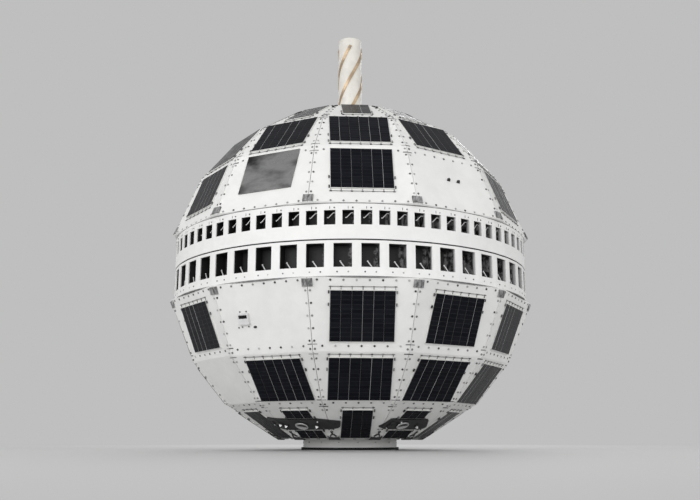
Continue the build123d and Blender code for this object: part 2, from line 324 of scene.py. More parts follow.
def addToned(name, shape, places, look, tones=(0.0, 1.0)):
    # The shape at every place, each copy with a random tone of its own
    tone = np.repeat(random.uniform(*tones, len(places[0])), len(shape[0]))
    addPiece(name, stamped(shape, places), look, tone=tone)


# Shader nodes: each helper adds one node and gives the socket that it puts out
def feed(tree, made, values):
    # A socket among the values is linked, anything else is written
    for key, value in values.items():
        if isinstance(value, bpy.types.NodeSocket):
            tree.links.new(value, made.inputs[key])
        else:
            made.inputs[key].default_value = value


def node(tree, kind, values=None, **settings):
    # One node itself, with its settings and the values of its sockets
    made = tree.nodes.new(kind)
    for key, value in settings.items():
        setattr(made, key, value)
    feed(tree, made, values or {})
    return made


def maths(tree, operation, *values):
    # One operation on numbers
    return node(tree, "ShaderNodeMath", dict(enumerate(values)), operation=operation).outputs[0]


def vectorMaths(tree, operation, *values):
    # One operation on vectors; a length, a distance or a dot product comes out as a number
    made = node(tree, "ShaderNodeVectorMath", dict(enumerate(values)), operation=operation)
    return made.outputs["Value" if operation in ("LENGTH", "DISTANCE", "DOT_PRODUCT") else "Vector"]


def shaded(tree, colours, share):
    # The colours times the share
    made = node(tree, "ShaderNodeVectorMath", {0: colours, "Scale": share}, operation="SCALE")
    return made.outputs["Vector"]


def ramp(tree, value, low, high, toLow=0.0, toHigh=1.0, smooth=False):
    # From low to high becomes toLow to toHigh, and stays there beyond
    values = {"Value": value, "From Min": low, "From Max": high, "To Min": toLow, "To Max": toHigh}
    kind = "SMOOTHSTEP" if smooth else "LINEAR"
    return node(tree, "ShaderNodeMapRange", values, interpolation_type=kind).outputs[0]


def noise(tree, where, scale, detail, roughness=0.5):
    # Smooth random pattern over the points
    values = {"Vector": where, "Scale": scale, "Detail": detail, "Roughness": roughness}
    return node(tree, "ShaderNodeTexNoise", values).outputs["Fac"]


def objectPoint(tree):
    # The shaded point in the object's own coordinates, in metres
    return node(tree, "ShaderNodeTexCoord").outputs["Object"]


def attribute(tree, name, output):
    # What a piece holds for each of its points
    return node(tree, "ShaderNodeAttribute", attribute_name=name).outputs[output]


def separated(tree, vector):
    # The three numbers of a vector
    return node(tree, "ShaderNodeSeparateXYZ", {0: vector}).outputs


def colour(value):
    # Grey number or colour, with its alpha
    return (*(value if isinstance(value, tuple) else (value, value, value)), 1.0)


def mixed(tree, share, first, second):
    # From the first colour at 0 to the second at 1
    ends = [end if isinstance(end, bpy.types.NodeSocket) else colour(end) for end in (first, second)]
    return node(tree, "ShaderNodeMix", {0: share, 6: ends[0], 7: ends[1]}, data_type="RGBA").outputs[2]


def bumped(tree, height, strength, distance):
    # The normal, tipped as if the surface had this height
    values = {"Height": height, "Strength": strength, "Distance": distance}
    return node(tree, "ShaderNodeBump", values).outputs["Normal"]


# Shader groups: each gives colour, roughness and height
def newGroup(name, inputs):
    # The kind of an input follows from how many numbers it has
    kinds = {1: "NodeSocketFloat", 3: "NodeSocketVector", 4: "NodeSocketColor"}
    group = bpy.data.node_groups.new(name, "ShaderNodeTree")
    for label, value in inputs.items():
        socket = group.interface.new_socket(label, in_out="INPUT", socket_type=kinds[np.size(value)])
        socket.default_value = value
    for label, size in (("Colour", 4), ("Roughness", 1), ("Height", 1)):
        group.interface.new_socket(label, in_out="OUTPUT", socket_type=kinds[size])
    return group, group.nodes.new("NodeGroupInput").outputs, group.nodes.new("NodeGroupOutput")


# Detail and roughness of the noises, and the part of their range that shows
noises = {"soft": (6.0, 0.62), "softRange": (0.35, 0.75), "fine": (3.0, 0.6), "brushDetail": 4.0,
          "brushRange": (0.3, 0.7)}


def mottleGroup():
    # Blotches and fine speckle: colour darkened by two noises, roughness and height from the same
    group, inside, out = newGroup("mottle", {
        "colour": (0.8, 0.8, 0.8, 1), "shade": 0.1, "speckle": 0.1, "blotches": 12.0, "grain": 900.0,
        "rough": 0.5, "roughSpread": 0.1})
    where = objectPoint(group)
    soft = ramp(group, noise(group, where, inside["blotches"], *noises["soft"]), *noises["softRange"])
    fine = noise(group, where, inside["grain"], *noises["fine"])
    dark = maths(group, "MULTIPLY", soft, inside["shade"])
    level = maths(group, "SUBTRACT", 1.0, maths(group, "MULTIPLY_ADD", fine, inside["speckle"], dark))
    rough = maths(group, "MULTIPLY_ADD", soft, inside["roughSpread"], inside["rough"])
    feed(group, out, {"Colour": shaded(group, inside["colour"], level), "Roughness": rough, "Height": fine})
    return group


def brushGroup():
    # Brush marks along one direction: noise on coordinates that are stretched across it
    group, inside, out = newGroup("brushMarks", {
        "colour": (0.5, 0.5, 0.5, 1), "stretch": (900, 900, 8), "depth": 0.3, "rough": 0.35})
    where = vectorMaths(group, "MULTIPLY", objectPoint(group), inside["stretch"])
    marks = noise(group, where, 1.0, noises["brushDetail"])
    cut = maths(group, "MULTIPLY", ramp(group, marks, *noises["brushRange"]), inside["depth"])
    keep = maths(group, "SUBTRACT", 1.0, cut)
    rough = maths(group, "ADD", cut, inside["rough"])
    feed(group, out, {"Colour": shaded(group, inside["colour"], keep), "Roughness": rough, "Height": marks})
    return group


# Paint, plastic and dull metal read the mottle group, bare metal with brush marks the other one;
# these are their usual values, and a look gives what differs
groups = {
    "coat": (mottleGroup(), {"shade": 0.08, "speckle": 0.06, "blotches": 14.0, "grain": 900.0, "rough": 0.5,
                             "roughSpread": 0.12, "metal": 0.0, "specular": 0.5, "coat": 0.0, "bump": 0.15,
                             "bumpDepth": 0.0004}),
    "brush": (brushGroup(), {"stretch": (900, 900, 8), "depth": 0.3, "rough": 0.3, "metal": 1.0,
                             "specular": 0.5, "coat": 0.0, "bump": 0.2, "bumpDepth": 0.0002}),
}
coatRoughness = 0.1


def newMaterial(name):
    # A material, its tree and its shader
    material = bpy.data.materials.new(name)
    material.use_nodes = True
    return material, material.node_tree, material.node_tree.nodes["Principled BSDF"]


def finished(name, kind, look):
    # The group feeds colour, roughness and a fine bump; what is the same all over goes to the shader
    group, usual = groups[kind]
    look = {**usual, **look, "colour": colour(look["colour"])}
    material, tree, shader = newMaterial(name)
    made = node(tree, "ShaderNodeGroup", node_tree=group)
    feed(tree, made, {key: look[key] for key in made.inputs.keys()})
    feed(tree, shader, {
        "Base Color": made.outputs["Colour"], "Roughness": made.outputs["Roughness"],
        "Metallic": look["metal"], "Specular IOR Level": look["specular"], "Coat Weight": look["coat"],
        "Coat Roughness": coatRoughness,
        "Normal": bumped(tree, made.outputs["Height"], look["bump"], look["bumpDepth"])})
    return material


# Mouths of the ports, with painted light: the wall's pale radii and raggedness in metres, the painted lit
# patch as shares of the ports' step; noises are (scale, detail, roughness), bumps (strength, distance in
# metres)
mouth = {"pale": 0.5, "dark": 0.008, "rough": 0.6, "wall": (0.430, 0.436), "ragged": 0.006,
         "facingLight": (-0.3, -0.9), "torn": (60.0, 3.0), "bump": (0.1, 0.001), "patch": (0.64, 0.76),
         "cloud": (75.0, 5.0, 0.65), "cloudRange": (0.44, 0.58, 0.0, 0.45)}


def portInsidePaintedLight(name, port):
    # Dull black pocket with painted light where the lamps would fall: pale at the mouth of its right-hand
    # wall and, raggedly, on the right of its back wall, found from the azimuth as a share of the ports' step
    material, tree, shader = newMaterial(name)
    where = objectPoint(tree)
    flat = vectorMaths(tree, "MULTIPLY", where, (1, 1, 0))
    torn = noise(tree, where, *mouth["torn"])
    edge = maths(tree, "MULTIPLY_ADD", torn, mouth["ragged"], vectorMaths(tree, "LENGTH", flat))
    right = vectorMaths(tree, "CROSS_PRODUCT", (0, 0, 1), vectorMaths(tree, "NORMALIZE", flat))
    normal = node(tree, "ShaderNodeNewGeometry").outputs["True Normal"]
    # Painted light on the walls that face leftward, towards the lamps
    facingLight = ramp(tree, vectorMaths(tree, "DOT_PRODUCT", normal, right), *mouth["facingLight"])
    wall = maths(tree, "MULTIPLY", ramp(tree, edge, *mouth["wall"], smooth=True), facingLight)
    # Steps from the left edge of the first port's side, with 100 added so that none is negative
    x, y = separated(tree, where)[:2]
    azimuth = maths(tree, "ARCTAN2", x, maths(tree, "MULTIPLY", y, -1.0))
    steps = maths(tree, "MULTIPLY_ADD", azimuth, 1 / port["step"], 100.5 - port["azimuth"][0] / port["step"])
    across = ramp(tree, maths(tree, "FRACT", steps), *mouth["patch"], smooth=True)
    cloud = ramp(tree, noise(tree, where, *mouth["cloud"]), *mouth["cloudRange"])
    pale = maths(tree, "MAXIMUM", wall, maths(tree, "MULTIPLY", across, cloud))
    feed(tree, shader, {"Base Color": mixed(tree, pale, mouth["dark"], mouth["pale"]),
                        "Roughness": mouth["rough"], "Normal": bumped(tree, torn, *mouth["bump"])})
    return material


# A cell's bus bar and grid lines lie at shares of its length and width
cellLook = {"dark": (0.004, 0.0045, 0.007), "light": (0.008, 0.0085, 0.012), "bar": 0.10, "barFrom": 0.94,
            "barShare": 0.28, "lines": 5.0, "lineWidth": 0.04, "lineShare": 0.12, "rough": (0.12, 0.26),
            "ior": 1.32, "specular": 0.12, "cloud": (140.0, 3.0), "cloudShare": 0.4,
            "blendRange": (0.2, 1.2), "bump": (0.05, 0.0005)}


def cellGlass(name):
    # Dark cell under clear cover glass: a pale bus bar along one edge, fine grid lines,
    # and a colour and gloss of its own on every cell
    d = cellLook
    material, tree, shader = newMaterial(name)
    across, along = separated(tree, attribute(tree, "seat", "Vector"))[:2]
    tone = attribute(tree, "tone", "Fac")
    cloud = noise(tree, objectPoint(tree), *d["cloud"])
    blend = maths(tree, "MULTIPLY_ADD", cloud, d["cloudShare"], tone)
    base = mixed(tree, ramp(tree, blend, *d["blendRange"]), d["dark"], d["light"])
    bar = maths(tree, "GREATER_THAN", along, d["barFrom"])
    lines = maths(tree, "FRACT", maths(tree, "MULTIPLY", across, d["lines"]))
    faint = maths(tree, "MULTIPLY", maths(tree, "LESS_THAN", lines, d["lineWidth"]), d["lineShare"])
    share = maths(tree, "MULTIPLY", maths(tree, "MAXIMUM", bar, faint), d["barShare"])
    feed(tree, shader, {
        "Base Color": mixed(tree, share, base, d["bar"]),
        "Roughness": ramp(tree, tone, 0.0, 1.0, *d["rough"]), "IOR": d["ior"],
        "Specular IOR Level": d["specular"], "Normal": bumped(tree, cloud, *d["bump"])})
    return material


# Screws and strips are all worn alike
wear = {"detail": 3.0, "range": (0.3, 0.7, 0.65, 1.0), "bump": (0.15, 0.0003)}


def tonedMetal(name, look):
    # Metal whose brightness follows each copy's own tone
    material, tree, shader = newMaterial(name)
    spots = noise(tree, objectPoint(tree), look["grain"], wear["detail"])
    ease = maths(tree, "POWER", attribute(tree, "tone", "Fac"), look["power"])
    base = mixed(tree, ease, look["dark"], look["light"])
    feed(tree, shader, {"Base Color": shaded(tree, base, ramp(tree, spots, *wear["range"])),
                        "Metallic": look["metal"], "Roughness": look["rough"],
                        "Normal": bumped(tree, spots, *wear["bump"])})
    return material


# The window's painted light and shade: its pale lit parts, at shares of its width and length
windowPaintedLook = {"dark": 0.01, "pale": 0.42, "rough": 0.15, "poleSide": (0.52, 0.62), "centre": (0.54, 0.60, 0),
              "crescent": (0.42, 0.46), "ripple": (200.0, 2.0), "bump": (0.05, 0.0003)}


def windowPaintedLight(name):
    # Detector window, painted light and shade under gloss: pale on its pole side, black across the middle, a
    # pale crescent beyond
    d = windowPaintedLook
    material, tree, shader = newMaterial(name)
    seat = attribute(tree, "seat", "Vector")
    crescent = ramp(tree, vectorMaths(tree, "DISTANCE", seat, d["centre"]), *d["crescent"], smooth=True)
    poleSide = ramp(tree, separated(tree, seat)["Y"], *d["poleSide"], smooth=True)
    ripple = noise(tree, objectPoint(tree), *d["ripple"])
    feed(tree, shader, {
        "Base Color": mixed(tree, maths(tree, "MAXIMUM", crescent, poleSide), d["dark"], d["pale"]),
        "Roughness": d["rough"], "Normal": bumped(tree, ripple, *d["bump"])})
    return material


looks = {
    "white_coat": ("coat", {"colour": (0.80, 0.80, 0.785), "shade": 0.10, "speckle": 0.05, "blotches": 16.0,
                            "grain": 1400.0, "rough": 0.52, "bump": 0.2}),
    "band_coat": ("coat", {"colour": (0.80, 0.80, 0.79), "shade": 0.07, "speckle": 0.04, "blotches": 22.0,
                           "grain": 1400.0}),
    "inner_metal": ("brush", {"colour": 0.2, "rough": 0.5, "depth": 0.4}),
    "tray_pale": ("coat", {"colour": (0.74, 0.74, 0.72), "shade": 0.14, "speckle": 0.08, "blotches": 90.0,
                           "rough": 0.6}),
    "slot_black": ("coat", {"colour": 0.015, "rough": 0.6, "shade": 0.3}),
    "bracket_dark": ("coat", {"colour": 0.034, "shade": 0.3, "speckle": 0.2}),
    "pad_brushed": ("brush", {"colour": 0.42, "rough": 0.46, "depth": 0.7, "metal": 0.6,
                              "stretch": (230, 230, 5)}),
    "lip_grey": ("coat", {"colour": 0.34, "shade": 0.6, "speckle": 0.3, "blotches": 110.0, "rough": 0.7}),
    "detector_grey": ("coat", {"colour": (0.021, 0.021, 0.022), "shade": 0.6, "speckle": 0.25,
                               "blotches": 30.0, "rough": 0.34, "specular": 0.4}),
    "sensor_pale": ("coat", {"colour": 0.74, "shade": 0.2, "blotches": 60.0, "rough": 0.42}),
    "knob_metal": ("brush", {"colour": 0.75, "rough": 0.22, "depth": 0.25, "stretch": (300, 300, 300)}),
    "mirror_panel": ("brush", {"colour": 0.42, "rough": 0.14, "depth": 0.85, "stretch": (14, 9, 26)}),
    "flange_dark": ("brush", {"colour": 0.028, "rough": 0.42, "depth": 0.4, "stretch": (40, 40, 1500)}),
    "floor_pale": ("coat", {"colour": (0.60, 0.60, 0.58), "shade": 0.2, "blotches": 24.0}),
    "fibreglass": ("coat", {"colour": (0.78, 0.76, 0.70), "shade": 0.15, "speckle": 0.1, "blotches": 50.0,
                            "grain": 500.0, "rough": 0.45, "coat": 0.2}),
    "tape_metal": ("brush", {"colour": (0.62, 0.47, 0.32), "depth": 0.25, "stretch": (60, 60, 900)}),
    "wire_metal": ("coat", {"colour": 0.22, "shade": 0.3, "rough": 0.35, "metal": 0.7}),
    "probe_metal": ("coat", {"colour": 0.72, "shade": 0.2, "rough": 0.3, "metal": 0.4}),
    "rim_metal": ("coat", {"colour": 0.68, "shade": 0.25, "speckle": 0.15, "blotches": 120.0, "rough": 0.28,
                           "metal": 0.7}),
    # Pale metal of the studs, and of the detector tips that are painted highlights
    "pale_metal_and_highlight": ("coat", {"colour": 0.82, "shade": 0.1, "rough": 0.35, "metal": 0.2}),
    "dark_glass": ("coat", {"colour": 0.006, "rough": 0.12, "shade": 0.2, "roughSpread": 0.05,
                            "specular": 0.2}),
    "rubber_black": ("coat", {"colour": 0.02, "rough": 0.6, "shade": 0.3}),
}
tonedLooks = {
    "screw_head": {"dark": 0.03, "light": 0.62, "power": 1.3, "metal": 0.35, "rough": 0.4, "grain": 500.0},
    "strip_metal": {"dark": 0.04, "light": 0.62, "power": 2.2, "metal": 0.2, "rough": 0.42, "grain": 250.0},
}
materials = {name: finished(name, *look) for name, look in looks.items()}
materials.update({name: tonedMetal(name, look) for name, look in tonedLooks.items()})
materials.update({"window_painted_light": windowPaintedLight("window_painted_light"), "cell_glass": cellGlass("cell_glass")})

# The nodes of the frame that have each look, by how their names start
nodeLooks = {
    "white_coat": ("skin_", "end_ring", "end_pan", "adapter_barrel", "adapter_throat", "top_deck",
                   "antenna_base"),
    "band_coat": ("band_skin",), "inner_metal": ("frame_", "canister"), "tray_pale": ("tray_",),
    "slot_black": ("port_ring", "waist_ring"), "pad_brushed": ("corner_pads",),
    "detector_grey": ("detector_plates",), "knob_metal": ("detector_knobs",),
    "sensor_pale": ("aspect_sensors",), "mirror_panel": ("mirror_panel",), "bracket_dark": ("end_brackets",),
    "flange_dark": ("adapter_flange",), "floor_pale": ("throat_floor",), "tape_metal": ("antenna_helix",),
    "fibreglass": ("antenna_tube", "antenna_cap"), "cell_glass": ("cells_",),
}
for name, part in nodes.items():
    look = next(look for look, starts in nodeLooks.items() if name.startswith(starts))
    part.data.materials.clear()
    part.data.materials.append(materials[look])
print("materials done")


# Solar modules: trays read from the frame, with single cells on them
def modulesOf(rowName):
    # One line per module: facet, near and far slope distance, width, lift of the tray's face
    row = rows[rowName]
    points = nodePoints("tray_" + rowName)
    found = []
    for facet in allFacets:
        local = frontPoints(points, facet) - row["start"]
        if len(local) == 0:
            continue
        slope, lift = local @ row["slope"], local @ row["out"]
        edges = np.unique(np.round(slope[np.abs(lift) < reading["foot"]], 2))
        width = 2 * np.abs(local[:, 0]).max()
        found += [(facet, near, far, width, lift.max()) for near, far in edges.reshape(-1, 2)]
    return np.array(found)


cells = {"columnPitch": 22.43, "gap": 1.0, "edge": 1.6, "length": 9.7, "thickness": 0.75, "bevel": 0.12,
         "lap": 0.25, "lean": 0.9, "scatter": 0.35, "twist": 0.12}  # the last three in degrees
modules = {name: modulesOf(name) for name in rowNames}


def columnsOf(width):
    # Number of cell columns that a module of this width has
    return int(round(width / cells["columnPitch"]))


def addCells(rowName):
    # Columns across and shingled cells up each module; a cell is a bevelled box, longer than its pitch
    # by the lap, and leans so that its far edge lies over the next
    d = cells
    parts, lengths = [], []
    for facet, near, far, width, lift in modules[rowName]:
        free = far - near - 2 * d["edge"]
        count = int(round(free / d["length"]))
        pitch = free / count
        slope, side = grid(near + d["edge"] + (np.arange(count) + 0.5) * pitch,
                           inLine(columnsOf(width), d["columnPitch"]))
        tilt = np.radians(d["lean"] + random.normal(0, d["scatter"], side.size))
        turn = np.radians(random.normal(0, d["twist"], side.size))
        parts.append(onFacets(rows[rowName], facet, side, slope, lift, turn, tilt))
        lengths.append(np.full(side.size, pitch + d["lap"]))
    lengths = np.concatenate(lengths)
    width, top, bevel = d["columnPitch"] - d["gap"], d["thickness"], d["bevel"]
    points, quads, tris = slab(width, 1.0, [(0, 0), (0, top - bevel), (bevel, top)])
    end = np.sign(np.round(points[:, 1], 6))
    ownPoints = np.repeat(points[None], len(lengths), 0)
    ownPoints[:, :, 1] = end * (lengths[:, None] / 2 - bevel * (points[:, 2] > top - bevel / 2))
    tone = np.repeat(random.random(len(lengths)), len(points))
    seat = np.tile(np.column_stack([points[:, 0] / width, end / 2]) + 0.5, (len(lengths), 1))
    addPiece("cells_shingled_" + rowName, stamped((ownPoints, quads, tris), merged(parts)), "cell_glass",
             ["cells_" + rowName], tone=tone, seat=seat)


for name in rowNames:
    addCells(name)
print("cells done")


screwHead = {"sides": 10, "steps": [(1.0, -0.2), (1.0, 0.35), (0.86, 0.55), (0.42, 0.55), (0.34, 0.3)]}


def addScrews(name, radius, places, tones=(0.0, 1.0)):
    # Low round heads with a recess, their steps given as multiples of the radius
    addToned(name, scaled(buttonOf(screwHead), radius, radius, radius), places, "screw_head", tones)


# Filled joints between the rows: reach along both facets, how far under their faces, and depth
joints = {"reach": 0.85, "sunk": 0.12, "depth": 1.2}


def addJoints():
    # Section of a joint: along both facets from their shared edge, just under their faces
    reach, sunk, depth = joints["reach"], joints["sunk"], joints["depth"]
    for half, names in zip(halves, (rowNames[:3], rowNames[3:])):
        shapes = []
        for a, b in zip(names[:-1], names[1:]):
            a, b = rows[a], rows[b]
            edge = (a["start"] + a["slope"] * a["length"] + b["start"]) / 2
            line = [edge - a["slope"] * reach - a["out"] * sunk, edge - (a["out"] + b["out"]) / 2 * sunk,
                    edge + b["slope"] * reach - b["out"] * sunk]
            line += [line[2] - b["out"] * depth, line[0] - a["out"] * depth]
            section = [(-point[1] / seamCosine, point[2]) for point in line]
            shapes.append(ringOf(section, facetCount, 0.5))
        addPiece("row_joints_" + half, joined(shapes), "white_coat")


# Beside the band: grey lips, and twelve-sided plates that close the view past it under the facets'
# overhanging corners; from and to are heights from the waist
waistRings = {
    "waist_lips": {"look": "lip_grey", "inner": 431.5, "outer": 437.2,
                   "from": 75.9, "to": 77.7, "sides": 144, "turn": 0.0},
    "waist_closers": {"look": "white_coat", "inner": 421 / seamCosine, "outer": 431 / seamCosine,
                      "from": 77.8, "to": 78.9, "sides": facetCount, "turn": 0.5},
}
endJoint = {"outer": 0.7, "width": 3.4, "proud": 0.15, "depth": 0.8}  # round the end ring


def addRings():
    # Lips and closing plates, then the filled joint between the lower end row and the end ring
    for name, d in waistRings.items():
        for half, sign in zip(halves, (-1, 1)):
            low, high = waistHeight + sign * d["from"], waistHeight + sign * d["to"]
            shape = flatRing(d["inner"], d["outer"], low, high, d["sides"], d["turn"])
            addPiece(name + "_" + half, shape, d["look"])
    corner = rows["lower_end"]["start"] + rows["lower_end"]["slope"] * rows["lower_end"]["length"]
    outer = (-corner[1] - endJoint["outer"]) / seamCosine
    inner = outer - endJoint["width"] / seamCosine
    low, high = corner[2] - endJoint["proud"], corner[2] + endJoint["depth"]
    addPiece("end_joint", flatRing(inner, outer, low, high, facetCount, 0.5), "white_coat")


# Box-like pads over the seams beside the band; steps of all slabs are (edge set in, height)
pads = {"size": (22, 16.5), "slope": 10.5, "steps": [(0, -3.4), (0, 1.1), (0.5, 1.6)]}


def addPads():
    # One on every seam of both waist rows
    places = merged([onSeams(rows[half + "_waist"], pads["slope"]) for half in halves])
    addPiece("seam_pads", stamped(slabOf(pads), places), "pad_brushed", ["corner_pads"])


# Skin screws: rows along the plates' edges and pairs beside the seams between facets, at slope distances
# from the waist side, or from the pole side where negative
skinScrews = {"radius": 2.35, "pitch": 27, "edge": 16, "seam": 5,
              "rows": {"waist": (4.2, -11.5), "end": (5.2,)},
              "pairs": {"waist": (26.5, 52.9, 79.3, 105.7, 132.1, -5.0),
                        "middle": (16.0, 42.4, 68.8, 95.2, -10.5), "end": (11.0, 32.0, 58.0, 84.0, 106.5)}}
detectorFacets = (11, 1)
detectorSpan = (56, 105)  # slope distances taken by the detector plates


def edgeRow(row, slope):
    # One row of screws along a plate's edge on every facet
    count = int(2 * (halfWidth(row, slope) - skinScrews["edge"]) / skinScrews["pitch"]) + 1
    facet, side = grid(allFacets, inLine(count, skinScrews["pitch"]))
    return onFacets(row, facet, side, slope)


def seamPairs(row, slopes, uncovered):
    # Screws on both sides of every seam, but for those that a detector plate covers
    facet, side, slope, sign = besideSeams(row, slopes, skinScrews["seam"])
    near = np.isin(facet, detectorFacets) | np.isin((facet + sign) % facetCount, detectorFacets)
    keep = uncovered | ~(near & (slope > detectorSpan[0]) & (slope < detectorSpan[1]))
    return onFacets(row, facet[keep], side[keep], slope[keep])


def addSkinScrews():
    # All rows and pairs of a half are one piece
    for half in halves:
        parts = [edgeRow(rows[half + "_" + place], slope) for place, slopes in skinScrews["rows"].items()
                 for slope in fromEdge(rows[half + "_" + place], slopes)]
        for place, slopes in skinScrews["pairs"].items():
            name = half + "_" + place
            parts.append(seamPairs(rows[name], slopes, name != "lower_end"))
        addScrews("skin_screws_" + half, skinScrews["radius"], merged(parts))


# Short bars bent over the seams near the corners of the facets
seamBars = {"size": (10.5, 2.4), "steps": [(0, -0.1), (0, 0.49), (0.25, 0.7)],
            "slopes": {"waist": (-15,), "middle": (4.6, -2.2), "end": (18.9,)}}


def addSeamBars():
    # Two halves of this size meet on the seam
    for half in halves:
        parts = []
        for place, slopes in seamBars["slopes"].items():
            row = rows[half + "_" + place]
            parts.append(onFacets(row, *besideSeams(row, slopes, seamBars["size"][0] / 2)[:3]))
        addToned("seam_bars_" + half, slabOf(seamBars), merged(parts), "screw_head")


# Wiring of a module: comb wire with T terminals on its waist side, strips between its columns, side clips
combs = {"distance": 6.5, "over": 2.5, "radius": 0.6, "sides": 6, "lift": 1.5, "inset": 1.2, "room": 20}
terminals = {"size": (4.6, 1.7), "steps": [(0, -0.1), (0, 1.84), (0.35, 2.3)]}
leads = {"size": (1.2, 7.5), "steps": [(0, -0.1), (0, 0.88), (0.2, 1.1)]}
strips = {"width": 0.7, "short": 1.2, "steps": [(0, -0.3), (0, 0.75), (0.2, 1.0)]}
clips = {"size": (2.8, 6.0), "steps": [(0, -0.1), (0, 2.9), (0.5, 3.4)], "away": 2.2, "slopes": (5, 31)}


def addCombs(rowName):
    # An end row's module that stands close to the row's edge has no room for a comb
    row = rows[rowName]
    bars, links, wires, stripPlaces, lengths, clipPlaces = [], [], [], [], [], []
    for facet, near, far, width, lift in modules[rowName]:
        columns = columnsOf(width)
        side = inLine(columns + 1, cells["columnPitch"])
        side[[0, -1]] = [combs["inset"] - width / 2, width / 2 - combs["inset"]]
        if near > combs["room"] or not rowName.endswith("end"):
            bars.append(onFacets(row, facet, side, near - combs["distance"]))
            links.append(onFacets(row, facet, side, near - combs["distance"] / 2))
            reach = width / 2 + combs["over"]
            line = rod([(reach * share, 0, combs["lift"]) for share in (-1, -1 / 3, 1 / 3, 1)],
                       combs["radius"], combs["sides"])
            wires.append(stamped(line, onFacets(row, facet, 0.0, near - combs["distance"])))
        stripPlaces.append(onFacets(row, facet, side, (near + far) / 2, lift))
        lengths.append(np.full(columns + 1, far - near - 2 * strips["short"]))
        sign, slopes = grid((-1, 1), [slope for slope in clips["slopes"] if slope < far - near])
        clipPlaces.append(onFacets(row, facet, sign * (width / 2 + clips["away"]), near + slopes))
    addToned("terminals_" + rowName, slabOf(terminals), merged(bars), "screw_head", (0, 0.5))
    addToned("leads_" + rowName, slabOf(leads), merged(links), "strip_metal")
    addPiece("comb_wires_" + rowName, joined(wires), "wire_metal", smooth=True)
    origins, axes = merged(stripPlaces)
    lengths = np.round(np.concatenate(lengths), 2)
    shapes, tones = [], []
    for length in np.unique(lengths):
        chosen = lengths == length
        strip = slab(strips["width"], length, strips["steps"])
        shapes.append(stamped(strip, (origins[chosen], axes[chosen])))
        tones.append(np.repeat(random.random(chosen.sum()), len(strip[0])))
    addPiece("column_strips_" + rowName, joined(shapes), "strip_metal", tone=np.concatenate(tones))
    addToned("clips_" + rowName, slabOf(clips), merged(clipPlaces), "screw_head", (0, 0.6))


# Antenna band: its sides and ports, read from the frame
def readPorts(name):
    # One side of the band per port; sizes are those of the port whose side is turned to -Y
    points = nodePoints("band_skin_" + name)
    radius = np.hypot(points[:, 0], points[:, 1])
    azimuth = np.arctan2(points[:, 0], -points[:, 1])
    corners = np.unique(np.round(azimuth[radius > radius.max() - reading["corner"]], 4))
    step = 2 * math.pi / len(corners)
    first = corners[0] + step / 2
    turned = points @ turnAxes(-first)
    face = turned[(np.abs(np.arctan2(turned[:, 0], -turned[:, 1])) < reading["side"] * step)
                  & (turned[:, 1] < turned[:, 1].min() + reading["face"])]
    return {"azimuth": first + np.arange(len(corners)) * step, "step": step,
            "apothem": radius.max() * math.cos(step / 2), "width": 2 * face[:, 0].max(),
            "low": face[:, 2].min(), "high": face[:, 2].max(),
            "bottom": points[:, 2].min(), "top": points[:, 2].max()}


ports = {name: readPorts(name) for name in halves}
for name, port in ports.items():
    nodes["port_ring_" + name].data.materials[0] = portInsidePaintedLight("port_inside_" + name, port)
bandTicks = {"size": (1.1, 5.5), "steps": [(0, -0.1), (0, 0.35)], "away": 5.2}
rimScrews = {"radius": 1.7, "away": 8.5, "lowerShare": 1 / 5, "upperShare": 1 / 4}  # of the step sideways


def addBandTrim():
    # A tick over every small port, two screws under every large one, one screw over every small one
    lower, upper = ports["lower"], ports["upper"]
    place = onRound(upper["azimuth"], upper["apothem"], upper["high"] + bandTicks["away"], "out")
    addToned("band_ticks", slabOf(bandTicks), place, "screw_head", (0, 0.4))
    heads = [onRound(lower["azimuth"] + shift, lower["apothem"], lower["bottom"] + rimScrews["away"], "out")
             for shift in lower["step"] * rimScrews["lowerShare"] * np.array([-1, 1])]
    heads.append(onRound(upper["azimuth"] + upper["step"] * rimScrews["upperShare"], upper["apothem"],
                         upper["top"] - rimScrews["away"], "out"))
    addScrews("band_screws", rimScrews["radius"], merged(heads))


# Probes inside the ports: points are (side, height, depth behind the band's face) as shares of the port
probes = {
    "upper": {"radius": 0.95, "path": [(0.98, 0.66, 0.32), (0.70, 0.74, 0.32), (0.52, 0.72, 0.32),
                                      (0.36, 0.58, 0.32), (-0.10, 0.22, 0.31), (-0.26, 0.08, 0.30),
                                      (-0.40, 0.06, 0.30)]},
    "lower": {"radius": 1.25, "path": [(0.16, -0.99, 0.16), (0.10, -0.90, 0.17), (-0.16, -0.62, 0.22),
                                      (-0.28, -0.48, 0.24)]},
}
probeTip = [(1.3, -0.9), (1.5, 0.0), (1.3, 0.9)]  # radii as multiples of the probe's, and heights
pocketDepth = 27


def addProbes(name):
    # A bent rod with a short thick tip at its end
    port, radius = ports[name], probes[name]["radius"]
    halfSize = [port["width"] / 2, (port["high"] - port["low"]) / 2, -pocketDepth]
    path = np.array(probes[name]["path"]) * halfSize
    points, quads, tris = button([(radius * share, height) for share, height in probeTip])
    shape = joined([rod(path, radius), (points + path[-1], quads, tris)])
    place = onRound(port["azimuth"], port["apothem"], (port["high"] + port["low"]) / 2, "out")
    addPiece("probes_" + name, stamped(shape, place), "probe_metal", smooth=True)


# Sun sensors: dark window in the slot, screws and lugs as (side, slope) from the middle of the housing;
# steps of all buttons are (radius, height)
sensors = {"facets": (11, 5), "side": -50, "slope": 77, "screw": 1.9,
           "screws": [(-8, 17), (8, 17), (-8, -16), (8, -16), (-17, 18)]}
sensorWindow = {"size": (20.5, 7.2), "steps": [(0, 0.0), (0, 0.6), (0.4, 0.9)], "lift": 3,
                "places": [(0, -5)]}
sensorLug = {"size": (4.2, 2.6), "sides": 16, "steps": [(1.0, -0.2), (1.0, 1.2), (0.8, 1.8)],
             "places": [(24.0, 18.7)]}


def sensorPlaces(table, lift=0.0):
    # One place on every sensor for each line of the table
    return merged([onFacets(rows["lower_waist"], sensors["facets"], sensors["side"] + side,
                            sensors["slope"] + slope, lift) for side, slope in table])


